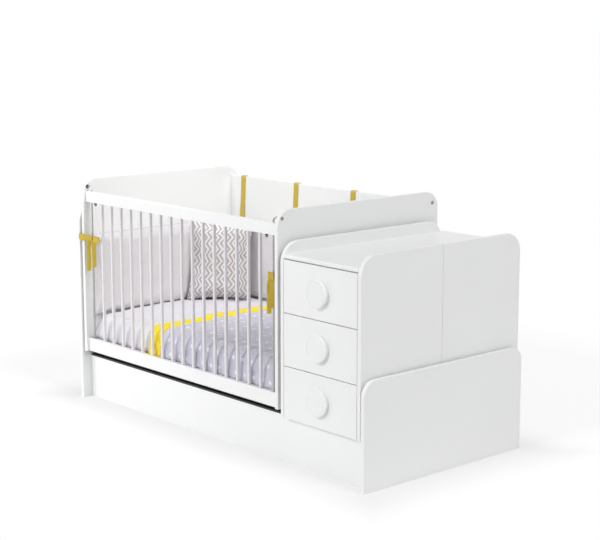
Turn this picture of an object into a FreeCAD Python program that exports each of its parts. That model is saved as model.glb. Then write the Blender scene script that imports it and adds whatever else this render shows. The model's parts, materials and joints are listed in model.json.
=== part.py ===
import FreeCAD, Part
import math
import os

from FreeCAD import Vector

# A rocking crib beside a chest of three drawers, both standing on one low bed base.
# Millimetres. X runs from the headboard to the footboard, Y from front to back, Z up from the floor.

# Boards
board_t = 18.0
edge_round = 2.0
cut_overrun = 5.0
face_clearance = 0.3

# Plan along X, from the headboard to the footboard
headboard_gap = 8.0
crib_length = 1358.0
dresser_gap = 18.0
dresser_width = 450.0
footboard_gap = 10.0

# Plan along Y, from the front edges of the two end boards
end_board_depth = 890.0
base_rail_setback = 50.0
crib_setback = 8.0
crib_rear_overhang = 18.0
dresser_setback = 7.0
dresser_rear_overhang = 7.0

# Heights and corner radii
headboard_h = 895.0
headboard_corner_r = 80.0
footboard_h = 430.0
footboard_corner_r = 60.0
base_rail_h = 197.0
rail_cap_t = 3.0
crib_clearance = 26.0
crib_end_h = 792.0
crib_corner_r = 70.0
dresser_side_h = 698.0
dresser_corner_r = 80.0

# Rocking gear
rocker_radius = 3000.0
rocker_balance = 48.0
rocker_t = 8.0
rocker_inset = 200.0
rocker_overrun = 60.0
rocker_depth = 40.0
roller_rail_gap = 126.0
roller_r = 22.0
roller_flange_r = 27.0
roller_flange_t = 3.0
roller_groove_play = 1.0
roller_side_play = 1.0
axle_r = 5.0
axle_clearance = 0.05
axle_head_r = 8.0
axle_head_t = 2.0
bracket_t = 3.0
bracket_foot_half = 32.0
bracket_eye_r = 12.0
beam_t = 40.0
beam_floor_gap = 30.0
beam_rocker_gap = 51.0
carriage_h = 12.0
carriage_w = 25.0

# Crib box
rear_panel_inset = 25.0
rear_panel_drop = 43.0
stretcher_h = 50.0
stretcher_gap = 4.0
deck_t = 12.0
deck_rise = 62.0
deck_play = 1.0
vent_r = 20.0
vent_columns = 6
vent_rows = 3
bearer_w = 25.0
bearer_h = 30.0

# Sliding guard
guard_setback = 12.0
guard_t = 24.0
guard_end_play = 2.0
guard_top_rail_h = 48.0
guard_top_drop = 53.0
guard_bottom_rail_h = 60.0
guard_top_round = 8.0
guard_low_round = 4.0
slat_count = 16
slat_w = 12.0
slat_t = 14.0
slat_round = 4.0
slat_pitch = 73.1
rod_r = 4.0
rod_offset = 32.5
rod_bend_r = 16.0
rod_top_drop = 33.0
rod_foot_rise = 35.0
rod_clearance = 0.1
rod_collar_r = 8.0
rod_collar_t = 4.0
rod_foot_collar_t = 1.6
rabbet_clearance = 0.6
catch_r = 7.0
catch_tip_r = 5.5
catch_collar_h = 6.0
catch_drop = 15.0
catch_inside = 12.0
catch_bore_depth = 20.0
catch_offset = 36.0
catch_forward = 4.0
bolt_cap_r = 8.0
bolt_cap_t = 2.0
bolt_cap_round = 1.2
rear_bolt_drop = 47.0
rear_bolt_rise = 77.0

# Chest of drawers
drawer_count = 3
dresser_top_recess = 44.0
top_front_round = 6.0
front_gap = 3.0
front_side_gap = 2.0
front_lift = 1.6
seam_depth = 439.0
seam_gap = 1.0
partition_t = 16.0
dresser_bottom_t = 16.0
drawer_box_depth = 385.0
drawer_box_h = 150.0
drawer_side_t = 12.0
drawer_bottom_t = 5.0
drawer_bottom_rise = 8.0
drawer_box_rise = 25.0
slide_w = 13.0
slide_bar_h = 24.0
slide_wall = 1.5
slide_length = 370.0
slide_lip_gap = 1.0
knob_r = 56.0
knob_back_r = 50.0
knob_t = 22.0
knob_rim_round = 5.0
knob_ring_r = 46.0
knob_ring_w = 3.0
knob_ring_depth = 1.0

# Bedding
mattress_play = 6.0
mattress_front_play = 2.0
mattress_h = 115.0
mattress_crown = 9.0
mattress_edge_r = 42.0
mattress_foot_r = 18.0
quilt_t = 9.0
quilt_border_w = 92.0
quilt_start = 425.0
quilt_end_gap = 36.0
quilt_hem_rise = 2.5
quilt_rear_margin = 40.0
bumper_t = 30.0
bumper_h = 370.7
bumper_bulge = 9.0
bumper_edge_draw = 10.0
bumper_corner_gap = 1.0
strap_w = 26.0
strap_t = 2.0
strap_tail = 60.0
strap_root = 12.0
strap_pitch = 383.0
strap_shift = 13.0
strap_count = 4
bow_drop = 12.0
bow_ribbon_w = 16.0
bow_ribbon_t = 2.0
bow_loop_len = 50.0
bow_loop_h = 26.0
bow_knot_r = 9.0
bow_reach = 44.0
bow_tail_len = 130.0
bow_tail_splay = 16.0
pillow_w = 300.0
pillow_h = 384.0
pillow_t = 110.0
pillow_edge_t = 7.0
pillow_draw = 18.0
pillow_corner_dist_x = 138.0
pillow_corner_dist_y = 198.0
pillow_turn_deg = 52.0
pillow_lean_deg = 5.0
pillow_slant_deg = 5.0
pillow_lift = -0.3
pillow_section_shares = (0.0, 0.08, 0.22, 0.5, 0.78, 0.92, 1.0)

# Places worked out from the sizes above
length = board_t * 2 + headboard_gap + crib_length + dresser_gap + dresser_width + footboard_gap
head_x0 = -length / 2
head_x1 = head_x0 + board_t
crib_x0 = head_x1 + headboard_gap
crib_x1 = crib_x0 + crib_length
crib_in0 = crib_x0 + board_t
crib_in1 = crib_x1 - board_t
crib_mid_x = (crib_x0 + crib_x1) / 2
dresser_x0 = crib_x1 + dresser_gap
dresser_x1 = dresser_x0 + dresser_width
dresser_in0 = dresser_x0 + board_t
dresser_in1 = dresser_x1 - board_t
foot_x0 = dresser_x1 + footboard_gap

front_reach = max(knob_t - dresser_setback, 0.0)
rear_reach = end_board_depth + max(crib_rear_overhang, dresser_rear_overhang, 0.0)
end_y0 = -(rear_reach - front_reach) / 2
end_y1 = end_y0 + end_board_depth
rail_y0 = end_y0 + base_rail_setback
rail_y1 = end_y1 - base_rail_setback
crib_y0 = end_y0 + crib_setback
crib_y1 = end_y1 + crib_rear_overhang
# The rocking axis stands over the crib's centre of mass, behind the middle of its depth
rock_y = (crib_y0 + crib_y1) / 2 + rocker_balance
rear_y0 = crib_y1 - rear_panel_inset - board_t
guard_y0 = crib_y0 + guard_setback
guard_y1 = guard_y0 + guard_t
rod_y = (guard_y0 + guard_y1) / 2
stretcher_y0 = guard_y1 + stretcher_gap
stretcher_y1 = stretcher_y0 + board_t
dresser_y0 = end_y0 + dresser_setback
dresser_y1 = end_y1 + dresser_rear_overhang

crib_z0 = base_rail_h + crib_clearance
crib_z1 = crib_z0 + crib_end_h
rear_panel_top = crib_z1 - rear_panel_drop
guard_top = crib_z1 - guard_top_drop
rod_top = crib_z1 - rod_top_drop
rod_foot = crib_z0 + rod_foot_rise
rear_bolt_top = crib_z1 - rear_bolt_drop
rear_bolt_foot = crib_z0 + rear_bolt_rise
deck_top = crib_z0 + deck_rise
carriage_z0 = crib_z0 - carriage_h
rocker_low = carriage_z0 - rocker_depth
rocker_axis_z = rocker_low + rocker_radius
beam_top = rocker_low - beam_rocker_gap
roller_half_spread = rail_y1 - board_t - roller_rail_gap - rock_y
rocker_half_run = roller_half_spread + rocker_overrun
roller_orbit = rocker_radius + face_clearance + roller_r
roller_z = rocker_axis_z - math.sqrt(roller_orbit ** 2 - roller_half_spread ** 2)
roller_w = rocker_t + roller_groove_play + roller_flange_t * 2
rocker_xs = (crib_x0 + rocker_inset, crib_x1 - rocker_inset)
roller_ys = (rock_y - roller_half_spread, rock_y + roller_half_spread)
rod_xs = (crib_in0 + rod_offset, crib_in1 - rod_offset)

dresser_z0 = base_rail_h
dresser_z1 = dresser_z0 + dresser_side_h
top_z1 = dresser_z1 - dresser_top_recess
top_z0 = top_z1 - board_t
seam_y = dresser_y0 + seam_depth
drawer_z0 = dresser_z0 + front_lift
drawer_pitch = (top_z0 - drawer_z0) / drawer_count
front_h = drawer_pitch - front_gap
front_x0 = dresser_in0 + front_side_gap
front_x1 = dresser_in1 - front_side_gap
front_y1 = dresser_y0 + board_t
box_x0 = dresser_in0 + slide_w
box_x1 = dresser_in1 - slide_w

mattress_x0 = crib_in0 + mattress_play
mattress_x1 = crib_in1 - mattress_play
mattress_y0 = stretcher_y0 + quilt_t + mattress_front_play
mattress_y1 = rear_y0 - mattress_play
mattress_top = deck_top + mattress_h
bumper_z0 = mattress_top - mattress_crown + face_clearance
bumper_top = bumper_z0 + bumper_h
bow_z = bumper_top - bow_drop
quilt_hem_z = deck_top + quilt_hem_rise
quilt_x0 = crib_in0 + quilt_start
quilt_x1 = quilt_x0 + quilt_border_w
quilt_x2 = mattress_x1 - quilt_end_gap


def block(x0, x1, y0, y1, z0, z1):
    return Part.makeBox(x1 - x0, y1 - y0, z1 - z0, Vector(x0, y0, z0))


def group(solids):
    return Part.makeCompound(solids)


def segment(a, b):
    return Part.LineSegment(a, b).toShape()


def arc(a, b, c):
    return Part.Arc(a, b, c).toShape()


def face_of(edges):
    return Part.Face(Part.Wire(edges))


def polygon(points):
    return Part.Face(Part.makePolygon(list(points) + [points[0]]))


# Edges that run along one axis, chosen to be rounded
def edges_along(shape, axis):
    chosen = []
    for edge in shape.Edges:
        ends = [v.Point for v in edge.Vertexes]
        if len(ends) == 2 and abs((ends[1] - ends[0]).normalize().dot(axis)) > 1 - 1e-6:
            chosen.append(edge)
    return chosen


# A bar along X with its four long edges rounded
def soft_bar(x0, x1, y0, y1, z0, z1, radius):
    bar = block(x0, x1, y0, y1, z0, z1)
    return bar.makeFillet(radius, edges_along(bar, Vector(1, 0, 0)))


# An upright board across the length, with rounded top corners and softened outlines on both faces
def end_board(x0, y0, y1, z0, z1, front_r, rear_r):
    slope = 1 - math.sqrt(0.5)
    edges = [segment(Vector(x0, y1, z0), Vector(x0, y0, z0))]
    if front_r > 0:
        edges.append(segment(Vector(x0, y0, z0), Vector(x0, y0, z1 - front_r)))
        middle = Vector(x0, y0 + front_r * slope, z1 - front_r * slope)
        edges.append(arc(Vector(x0, y0, z1 - front_r), middle, Vector(x0, y0 + front_r, z1)))
    else:
        edges.append(segment(Vector(x0, y0, z0), Vector(x0, y0, z1)))
    edges.append(segment(Vector(x0, y0 + front_r, z1), Vector(x0, y1 - rear_r, z1)))
    if rear_r > 0:
        middle = Vector(x0, y1 - rear_r * slope, z1 - rear_r * slope)
        edges.append(arc(Vector(x0, y1 - rear_r, z1), middle, Vector(x0, y1, z1 - rear_r)))
        edges.append(segment(Vector(x0, y1, z1 - rear_r), Vector(x0, y1, z0)))
    else:
        edges.append(segment(Vector(x0, y1, z1), Vector(x0, y1, z0)))
    board = face_of(edges).extrude(Vector(board_t, 0, 0))
    outline = []
    for edge in board.Edges:
        xs = [v.Point.x for v in edge.Vertexes]
        if max(xs) - min(xs) < board_t / 2:
            outline.append(edge)
    return board.makeFillet(edge_round, outline)


def headboard():
    return end_board(head_x0, end_y0, end_y1, 0, headboard_h, headboard_corner_r, headboard_corner_r)


def footboard():
    return end_board(foot_x0, end_y0, end_y1, 0, footboard_h, footboard_corner_r, footboard_corner_r)


def base_front_rail():
    return block(head_x1, foot_x0, rail_y0, rail_y0 + board_t, 0, base_rail_h)


def base_rear_rail():
    return block(head_x1, foot_x0, rail_y1 - board_t, rail_y1, 0, base_rail_h)


# Thin dark strips on the top edges of the two rails, under the crib only
def base_rail_caps():
    caps = []
    for y0 in (rail_y0, rail_y1 - board_t):
        caps.append(block(head_x1, dresser_x0, y0, y0 + board_t, base_rail_h, base_rail_h + rail_cap_t))
    return group(caps)


def base_cross_beams():
    beams = []
    for x in rocker_xs:
        beams.append(block(x - beam_t / 2, x + beam_t / 2, rail_y0 + board_t, rail_y1 - board_t,
                           beam_floor_gap, beam_top))
    return group(beams)


def roller_places():
    return [(x, y) for x in rocker_xs for y in roller_ys]


# A bent plate with two ears that hold the axle
def roller_bracket(x, y):
    half = roller_w / 2 + roller_side_play
    foot = block(x - half - bracket_t, x + half + bracket_t, y - bracket_foot_half, y + bracket_foot_half,
                 beam_top, beam_top + bracket_t)
    ears = []
    for x0 in (x - half - bracket_t, x + half):
        edges = [
            segment(Vector(x0, y - bracket_foot_half, beam_top), Vector(x0, y + bracket_foot_half, beam_top)),
            segment(Vector(x0, y + bracket_foot_half, beam_top), Vector(x0, y + bracket_eye_r, roller_z)),
            arc(Vector(x0, y + bracket_eye_r, roller_z), Vector(x0, y, roller_z + bracket_eye_r),
                Vector(x0, y - bracket_eye_r, roller_z)),
            segment(Vector(x0, y - bracket_eye_r, roller_z), Vector(x0, y - bracket_foot_half, beam_top)),
        ]
        ears.append(face_of(edges).extrude(Vector(bracket_t, 0, 0)))
    bracket = foot.fuse(ears).removeSplitter()
    span = (half + bracket_t + cut_overrun) * 2
    start = Vector(x - span / 2, y, roller_z)
    hole = Part.makeCylinder(axle_r + axle_clearance, span, start, Vector(1, 0, 0))
    return bracket.cut(hole)


def roller_brackets():
    return group([roller_bracket(x, y) for x, y in roller_places()])


def roller_axle(x, y):
    half = roller_w / 2 + roller_side_play + bracket_t
    along = Vector(1, 0, 0)
    pin = Part.makeCylinder(axle_r, half * 2, Vector(x - half, y, roller_z), along)
    left = Part.makeCylinder(axle_head_r, axle_head_t, Vector(x - half - axle_head_t, y, roller_z), along)
    right = Part.makeCylinder(axle_head_r, axle_head_t, Vector(x + half, y, roller_z), along)
    return pin.fuse([left, right])


def roller_axles():
    return group([roller_axle(x, y) for x, y in roller_places()])


# A grooved wheel: the rocker's edge runs between its two flanges
def roller(x, y):
    bore = axle_r + axle_clearance
    tread_half = (rocker_t + roller_groove_play) / 2
    half = roller_w / 2
    outline = [(-half, bore), (-half, roller_flange_r), (-tread_half, roller_flange_r),
               (-tread_half, roller_r), (tread_half, roller_r), (tread_half, roller_flange_r),
               (half, roller_flange_r), (half, bore)]
    face = polygon([Vector(x + a, y, roller_z + r) for a, r in outline])
    return face.revolve(Vector(x, y, roller_z), Vector(1, 0, 0), 360)


def dresser_left_side():
    return end_board(dresser_x0, dresser_y0, dresser_y1, dresser_z0, dresser_z1,
                     dresser_corner_r, dresser_corner_r)


def dresser_right_side_front():
    return end_board(dresser_in1, dresser_y0, seam_y - seam_gap / 2, dresser_z0, dresser_z1,
                     dresser_corner_r, 0)


def dresser_right_side_rear():
    return end_board(dresser_in1, seam_y + seam_gap / 2, dresser_y1, dresser_z0, dresser_z1,
                     0, dresser_corner_r)


def dresser_top():
    board = block(dresser_in0, dresser_in1, dresser_y0, dresser_y1, top_z0, top_z1)
    long_edges = edges_along(board, Vector(1, 0, 0))
    front = [e for e in long_edges if abs(e.CenterOfMass.y - dresser_y0) < edge_round]
    return board.makeFillet(top_front_round, front)


def dresser_bottom():
    return block(dresser_in0, dresser_in1, front_y1 + front_gap, dresser_y1 - board_t,
                 dresser_z0, dresser_z0 + dresser_bottom_t)


def dresser_partition():
    return block(dresser_in0, dresser_in1, seam_y - partition_t / 2, seam_y + partition_t / 2,
                 dresser_z0 + dresser_bottom_t, top_z0)


def dresser_back():
    return block(dresser_in0, dresser_in1, dresser_y1 - board_t, dresser_y1, dresser_z0, top_z0)


def drawer_low(i):
    return drawer_z0 + i * drawer_pitch


def slide_mid(i):
    return drawer_low(i) + drawer_box_rise + drawer_box_h / 2


# C-shaped runners screwed to the chest's sides, open towards the drawers
def drawer_channels():
    channels = []
    inner_half = slide_bar_h / 2 + face_clearance
    outer_half = inner_half + slide_wall
    reach = slide_w - slide_lip_gap
    for i in range(drawer_count):
        z = slide_mid(i)
        for x, side in ((dresser_in0, 1), (dresser_in1, -1)):
            outline = [(0, -outer_half), (reach, -outer_half), (reach, -inner_half),
                       (slide_wall, -inner_half), (slide_wall, inner_half), (reach, inner_half),
                       (reach, outer_half), (0, outer_half)]
            face = polygon([Vector(x + side * a, front_y1, z + b) for a, b in outline])
            channels.append(face.extrude(Vector(0, slide_length, 0)))
    return group(channels)


def drawer_front(i):
    z = drawer_low(i)
    board = block(front_x0, front_x1, dresser_y0, front_y1, z, z + front_h)
    face_edges = [e for e in board.Edges if abs(e.CenterOfMass.y - dresser_y0) < edge_round]
    return board.makeFillet(edge_round, face_edges)


# Two sides and a back, butted together
def drawer_box(i):
    z0 = drawer_low(i) + drawer_box_rise
    z1 = z0 + drawer_box_h
    y1 = front_y1 + drawer_box_depth
    left = block(box_x0, box_x0 + drawer_side_t, front_y1, y1, z0, z1)
    right = block(box_x1 - drawer_side_t, box_x1, front_y1, y1, z0, z1)
    back = block(box_x0 + drawer_side_t, box_x1 - drawer_side_t, y1 - drawer_side_t, y1, z0, z1)
    return group([left, right, back])


def drawer_bottom(i):
    z0 = drawer_low(i) + drawer_box_rise + drawer_bottom_rise
    return block(box_x0 + drawer_side_t, box_x1 - drawer_side_t, front_y1,
                 front_y1 + drawer_box_depth - drawer_side_t, z0, z0 + drawer_bottom_t)


# Bars on the drawer's sides that run in the chest's channels
def drawer_slides(i):
    z = slide_mid(i)
    thick = slide_w - slide_wall - face_clearance
    bars = []
    for x0 in (box_x0 - thick, box_x1):
        bars.append(block(x0, x0 + thick, front_y1, front_y1 + slide_length,
                          z - slide_bar_h / 2, z + slide_bar_h / 2))
    return group(bars)


# A round grip turned about Y: it flares from its foot to a rounded rim, with one shallow ring in its face
def drawer_knob(i):
    x = (front_x0 + front_x1) / 2
    z = drawer_low(i) + front_h / 2
    bend = knob_rim_round * (1 - math.sqrt(0.5))
    face_y = dresser_y0 - knob_t

    def at(r, y):
        return Vector(x + r, y, z)

    corners = [at(0, dresser_y0), at(knob_back_r, dresser_y0), at(knob_r, face_y + knob_rim_round)]
    ring_out = knob_ring_r + knob_ring_w
    ring = [at(knob_r - knob_rim_round, face_y), at(ring_out, face_y), at(ring_out, face_y + knob_ring_depth),
            at(knob_ring_r, face_y + knob_ring_depth), at(knob_ring_r, face_y), at(0, face_y), corners[0]]
    edges = [segment(a, b) for a, b in zip(corners[:-1], corners[1:])]
    edges.append(arc(corners[-1], at(knob_r - bend, face_y + bend), ring[0]))
    edges += [segment(a, b) for a, b in zip(ring[:-1], ring[1:])]
    return face_of(edges).revolve(at(0, dresser_y0), Vector(0, 1, 0), 360)


def crib_left_end():
    return end_board(crib_x0, crib_y0, crib_y1, crib_z0, crib_z1, crib_corner_r, crib_corner_r)


def crib_right_end():
    return end_board(crib_in1, crib_y0, crib_y1, crib_z0, crib_z1, crib_corner_r, crib_corner_r)


def crib_rear_panel():
    panel = block(crib_in0, crib_in1, rear_y0, rear_y0 + board_t, crib_z0, rear_panel_top)
    long_edges = edges_along(panel, Vector(1, 0, 0))
    top_edges = [e for e in long_edges if abs(e.CenterOfMass.z - rear_panel_top) < edge_round]
    return panel.makeFillet(edge_round, top_edges)


def crib_front_stretcher():
    return block(crib_in0, crib_in1, stretcher_y0, stretcher_y1, crib_z0, crib_z0 + stretcher_h)


# Battens along both ends and the rear panel, level with the stretcher's top
def deck_bearers():
    z1 = deck_top - deck_t
    z0 = z1 - bearer_h
    left = block(crib_in0, crib_in0 + bearer_w, stretcher_y1, rear_y0, z0, z1)
    right = block(crib_in1 - bearer_w, crib_in1, stretcher_y1, rear_y0, z0, z1)
    rear = block(crib_in0 + bearer_w, crib_in1 - bearer_w, rear_y0 - bearer_w, rear_y0, z0, z1)
    return group([left, right, rear])


# The bed board, with a pattern of vent holes
def mattress_deck():
    x0 = crib_in0 + deck_play
    x1 = crib_in1 - deck_play
    y1 = rear_y0 - deck_play
    deck = block(x0, x1, stretcher_y0, y1, deck_top - deck_t, deck_top)
    vents = []
    for i in range(vent_columns):
        for j in range(vent_rows):
            x = x0 + (x1 - x0) * (i + 1) / (vent_columns + 1)
            y = stretcher_y0 + (y1 - stretcher_y0) * (j + 1) / (vent_rows + 1)
            vents.append(Part.makeCylinder(vent_r, deck_t + cut_overrun * 2,
                                           Vector(x, y, deck_top - deck_t - cut_overrun)))
    return deck.cut(vents)


# Flat bars under the crib: four round its edge and one above each rocker
def carriage_frame():
    y0 = stretcher_y0
    y1 = rear_y0 + board_t
    front = block(crib_x0, crib_x1, y0, y0 + carriage_w, carriage_z0, crib_z0)
    rear = block(crib_x0, crib_x1, y1 - carriage_w, y1, carriage_z0, crib_z0)
    bars = [front, rear]
    for x0 in [crib_x0, crib_x1 - carriage_w] + [x - carriage_w / 2 for x in rocker_xs]:
        bars.append(block(x0, x0 + carriage_w, y0 + carriage_w, y1 - carriage_w, carriage_z0, crib_z0))
    return group(bars)


# A steel runner on edge, its lower edge an arc about the rocking axis
def rocker(x):
    x0 = x - rocker_t / 2
    y0 = rock_y - rocker_half_run
    y1 = rock_y + rocker_half_run
    end_z = rocker_axis_z - math.sqrt(rocker_radius ** 2 - rocker_half_run ** 2)
    edges = [
        segment(Vector(x0, y1, end_z), Vector(x0, y1, carriage_z0)),
        segment(Vector(x0, y1, carriage_z0), Vector(x0, y0, carriage_z0)),
        segment(Vector(x0, y0, carriage_z0), Vector(x0, y0, end_z)),
        arc(Vector(x0, y0, end_z), Vector(x0, rock_y, rocker_low), Vector(x0, y1, end_z)),
    ]
    return face_of(edges).extrude(Vector(rocker_t, 0, 0))


def guard_top_rail():
    x0 = crib_in0 + guard_end_play
    x1 = crib_in1 - guard_end_play
    z0 = guard_top - guard_top_rail_h
    rail = block(x0, x1, guard_y0, guard_y1, z0, guard_top)
    upper = [e for e in edges_along(rail, Vector(1, 0, 0)) if e.CenterOfMass.z > (z0 + guard_top) / 2]
    rail = rail.makeFillet(guard_top_round, upper)
    cuts = []
    for x in rod_xs:
        cuts.append(Part.makeCylinder(rod_r + rod_clearance, guard_top_rail_h + cut_overrun * 2,
                                      Vector(x, rod_y, z0 - cut_overrun)))
    for x in catch_xs():
        cuts.append(Part.makeCylinder(catch_r + face_clearance, catch_bore_depth + cut_overrun,
                                      Vector(x, rod_y - catch_forward, z0 - cut_overrun)))
    return rail.cut(cuts)


# The low rail is cut back behind its ends, so that it passes the rods and their feet
def guard_bottom_rail():
    x0 = crib_in0 + guard_end_play
    x1 = crib_in1 - guard_end_play
    z1 = crib_z0 + guard_bottom_rail_h
    rail = soft_bar(x0, x1, guard_y0, guard_y1, crib_z0, z1, guard_low_round)
    reach = rod_offset - guard_end_play + rod_r + rabbet_clearance
    y0 = rod_y - rod_r - rabbet_clearance
    y1 = guard_y1 + cut_overrun
    low = crib_z0 - cut_overrun
    high = z1 + cut_overrun
    left = block(x0 - cut_overrun, x0 + reach, y0, y1, low, high)
    right = block(x1 - reach, x1 + cut_overrun, y0, y1, low, high)
    return rail.cut([left, right])


def guard_slats():
    slats = []
    z0 = crib_z0 + guard_bottom_rail_h
    z1 = guard_top - guard_top_rail_h
    for i in range(slat_count):
        x = crib_mid_x + (i - (slat_count - 1) / 2) * slat_pitch
        slat = block(x - slat_w / 2, x + slat_w / 2, rod_y - slat_t / 2, rod_y + slat_t / 2, z0, z1)
        slats.append(slat.makeFillet(slat_round, edges_along(slat, Vector(0, 0, 1))))
    return group(slats)


# A bent guide rod: a foot in the end panel, a long upright run and a second foot
def guard_rod(wall_x, rod_x):
    side = 1 if rod_x > wall_x else -1
    turn_x = rod_x - side * rod_bend_r
    slope = rod_bend_r * (1 - math.sqrt(0.5))
    top_mid = Vector(rod_x - side * slope, rod_y, rod_top - slope)
    foot_mid = Vector(rod_x - side * slope, rod_y, rod_foot + slope)
    path = Part.Wire([
        segment(Vector(wall_x, rod_y, rod_top), Vector(turn_x, rod_y, rod_top)),
        arc(Vector(turn_x, rod_y, rod_top), top_mid, Vector(rod_x, rod_y, rod_top - rod_bend_r)),
        segment(Vector(rod_x, rod_y, rod_top - rod_bend_r), Vector(rod_x, rod_y, rod_foot + rod_bend_r)),
        arc(Vector(rod_x, rod_y, rod_foot + rod_bend_r), foot_mid, Vector(turn_x, rod_y, rod_foot)),
        segment(Vector(turn_x, rod_y, rod_foot), Vector(wall_x, rod_y, rod_foot)),
    ])
    section = Part.Wire(Part.makeCircle(rod_r, Vector(wall_x, rod_y, rod_top), Vector(side, 0, 0)))
    return path.makePipeShell([section], True, False)


def guard_rods():
    return group([guard_rod(crib_in0, rod_xs[0]), guard_rod(crib_in1, rod_xs[1])])


# Rings round the rods' feet, against the end panels
def guard_rod_collars():
    collars = []
    for wall_x, side in ((crib_in0, 1), (crib_in1, -1)):
        for z, thick in ((rod_top, rod_collar_t), (rod_foot, rod_foot_collar_t)):
            start = Vector(wall_x, rod_y, z)
            ring = Part.makeCylinder(rod_collar_r, thick, start, Vector(side, 0, 0))
            hole = Part.makeCylinder(rod_r + rod_clearance, thick, start, Vector(side, 0, 0))
            collars.append(ring.cut(hole))
    return group(collars)


def catch_xs():
    return (rod_xs[0] + catch_offset, rod_xs[1] - catch_offset)


# A push catch under the top rail: a collar, a slimmer tip below it and a shank up in its bore
def guard_catch(x):
    y = rod_y - catch_forward
    z = guard_top - guard_top_rail_h
    collar = Part.makeCylinder(catch_r, catch_collar_h + catch_inside, Vector(x, y, z - catch_collar_h))
    tip = Part.makeCylinder(catch_tip_r, catch_drop - catch_collar_h, Vector(x, y, z - catch_drop))
    rims = [e for e in tip.Edges if len(e.Vertexes) == 1]
    low = [e for e in rims if abs(e.CenterOfMass.z - (z - catch_drop)) < edge_round]
    return collar.fuse(tip.makeFillet(edge_round, low)).removeSplitter()


# Shallow caps with softened rims over the bolts that go through the end panels
def crib_bolt_caps():
    caps = []
    rear_y = rear_y0 + board_t / 2
    for wall_x, side in ((crib_x0, -1), (crib_x1, 1)):
        for y, z in ((rod_y, rod_top), (rod_y, rod_foot), (rear_y, rear_bolt_top), (rear_y, rear_bolt_foot)):
            cap = Part.makeCylinder(bolt_cap_r, bolt_cap_t, Vector(wall_x, y, z), Vector(side, 0, 0))
            rim = [e for e in cap.Edges if abs(e.CenterOfMass.x - wall_x) > bolt_cap_t * 0.9]
            caps.append(cap.makeFillet(bolt_cap_round, rim))
    return group(caps)


# A closed outline in the plane of a and z: flat foot, rounded corners and a crowned top
def crowned_outline(a0, a1, z0, edge_z, crown, top_r, foot_r, point):
    mid = (a0 + a1) / 2
    t = top_r * (1 - math.sqrt(0.5))
    f = foot_r * (1 - math.sqrt(0.5))
    return face_of([
        segment(point(a0 + foot_r, z0), point(a1 - foot_r, z0)),
        arc(point(a1 - foot_r, z0), point(a1 - f, z0 + f), point(a1, z0 + foot_r)),
        segment(point(a1, z0 + foot_r), point(a1, edge_z - top_r)),
        arc(point(a1, edge_z - top_r), point(a1 - t, edge_z - t), point(a1 - top_r, edge_z)),
        arc(point(a1 - top_r, edge_z), point(mid, edge_z + crown), point(a0 + top_r, edge_z)),
        arc(point(a0 + top_r, edge_z), point(a0 + t, edge_z - t), point(a0, edge_z - top_r)),
        segment(point(a0, edge_z - top_r), point(a0, z0 + foot_r)),
        arc(point(a0, z0 + foot_r), point(a0 + f, z0 + f), point(a0 + foot_r, z0)),
    ])


# The mattress is where a crowned run along the length and one across it meet
def mattress():
    def across(a, z):
        return Vector(mattress_x0, a, z)

    def along(a, z):
        return Vector(a, mattress_y0, z)

    edge_z = mattress_top - mattress_crown
    run = crowned_outline(mattress_y0, mattress_y1, deck_top, edge_z, mattress_crown, mattress_edge_r,
                          mattress_foot_r, across).extrude(Vector(mattress_x1 - mattress_x0, 0, 0))
    cut = crowned_outline(mattress_x0, mattress_x1, deck_top, mattress_top, mattress_crown, mattress_edge_r,
                          mattress_foot_r, along).extrude(Vector(0, mattress_y1 - mattress_y0, 0))
    return run.common(cut)


# The cover's section: it follows the mattress's crown and its rounded front edge, then hangs to a hem
def cover_section(x, thick):
    gap = face_clearance
    y0 = mattress_y0
    y1 = mattress_y1 - mattress_edge_r - quilt_rear_margin
    edge_z = mattress_top - mattress_crown
    run0 = mattress_y0 + mattress_edge_r
    run1 = mattress_y1 - mattress_edge_r
    half = (run1 - run0) / 2
    big_r = (half ** 2 + mattress_crown ** 2) / (mattress_crown * 2)
    centre_y = (run0 + run1) / 2
    centre_z = edge_z + mattress_crown - big_r

    def top(y, offset):
        return Vector(x, y, centre_z + math.sqrt((big_r + offset) ** 2 - (y - centre_y) ** 2))

    def turned(offset):
        r = (mattress_edge_r + offset) * math.sqrt(0.5)
        return Vector(x, run0 - r, edge_z - mattress_edge_r + r)

    inner = gap
    outer = gap + thick
    mid = (run0 + y1) / 2
    hem_in = Vector(x, y0 - inner, quilt_hem_z)
    hem_out = Vector(x, y0 - outer, quilt_hem_z)
    fall_in = Vector(x, y0 - inner, edge_z - mattress_edge_r)
    fall_out = Vector(x, y0 - outer, edge_z - mattress_edge_r)
    return face_of([
        segment(hem_in, fall_in),
        arc(fall_in, turned(inner), top(run0, inner)),
        arc(top(run0, inner), top(mid, inner), top(y1, inner)),
        segment(top(y1, inner), top(y1, outer)),
        arc(top(y1, outer), top(mid, outer), top(run0, outer)),
        arc(top(run0, outer), turned(outer), fall_out),
        segment(fall_out, hem_out),
        segment(hem_out, hem_in),
    ])


def quilt():
    return cover_section(quilt_x1, quilt_t).extrude(Vector(quilt_x2 - quilt_x1, 0, 0))


def quilt_border():
    return cover_section(quilt_x0, quilt_t).extrude(Vector(quilt_x1 - quilt_x0, 0, 0))


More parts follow.
